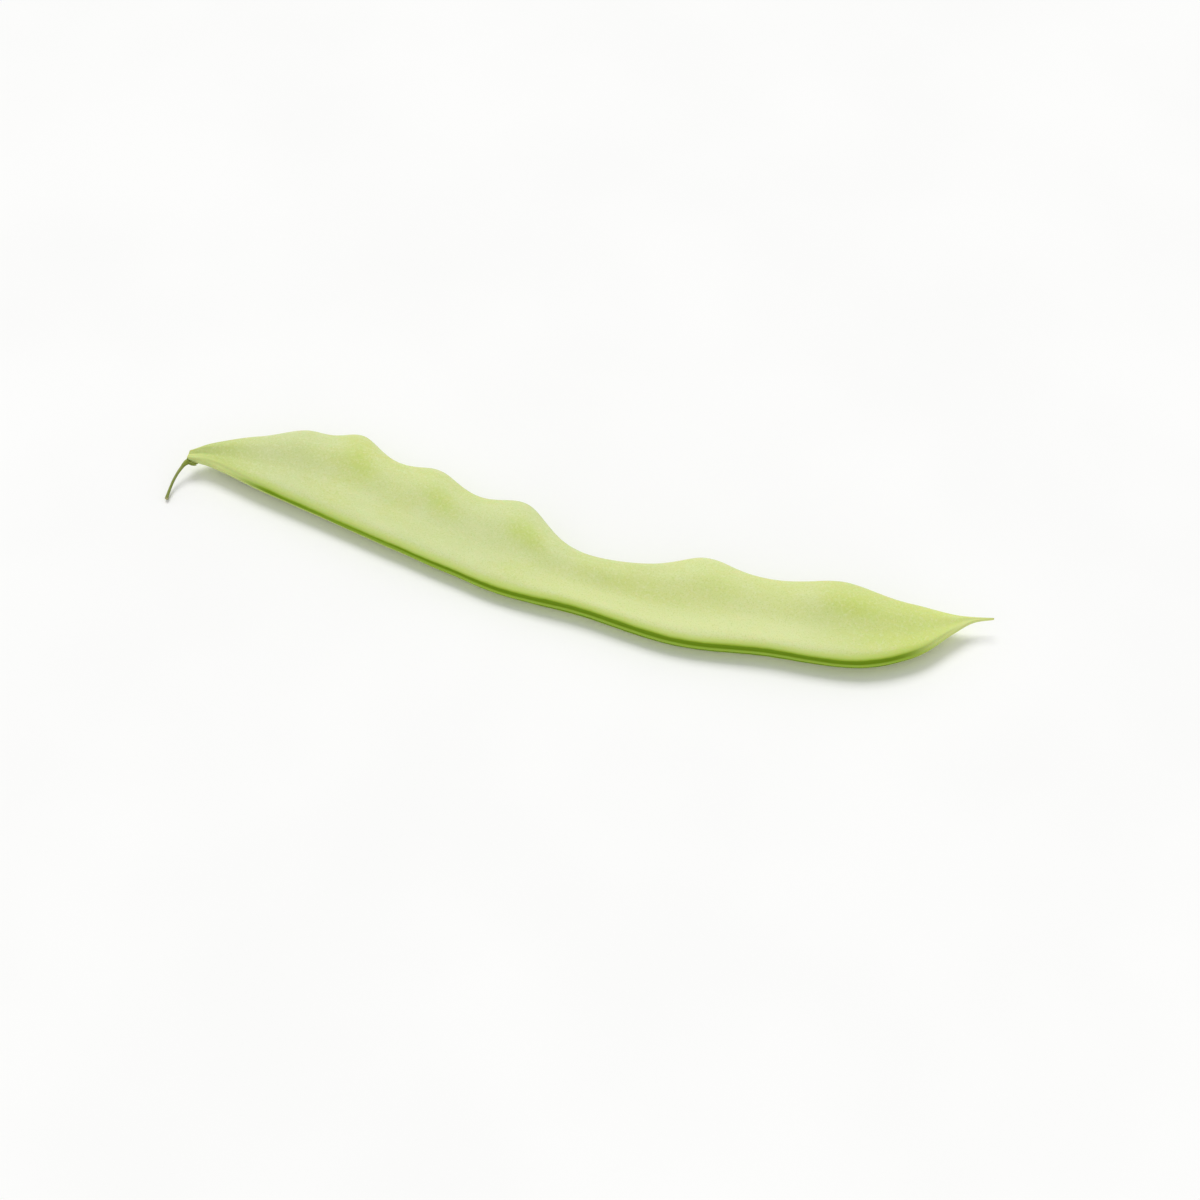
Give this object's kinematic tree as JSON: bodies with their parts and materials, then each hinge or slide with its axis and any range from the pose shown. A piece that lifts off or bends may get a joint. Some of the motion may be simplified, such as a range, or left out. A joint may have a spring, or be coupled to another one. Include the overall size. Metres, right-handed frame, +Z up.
{
  "type": "romano bean",
  "caption": "Broad flat green bean pod with a scalloped seed-side edge, a beak at the blossom end and a thin stalk at the stem end.",
  "frame": {"origin": "on the ground, below the middle of the lying bean's bounding box", "axes": "+X along the pod from stem end to beak, +Y across the pod towards its seed-bearing seam, +Z up through the flat faces"},
  "size_m": [0.1622, 0.034, 0.0067],
  "materials": {
    "pod_skin": "matt, velvety pale green skin with darker green seams",
    "calyx": "dry olive green, matt",
    "stalk": "olive green, matt, finely ridged"
  },
  "bodies": {
    "root": {"pod": "pod_skin", "calyx": "calyx", "pedicel": "stalk"}
  },
  "joints": []
}
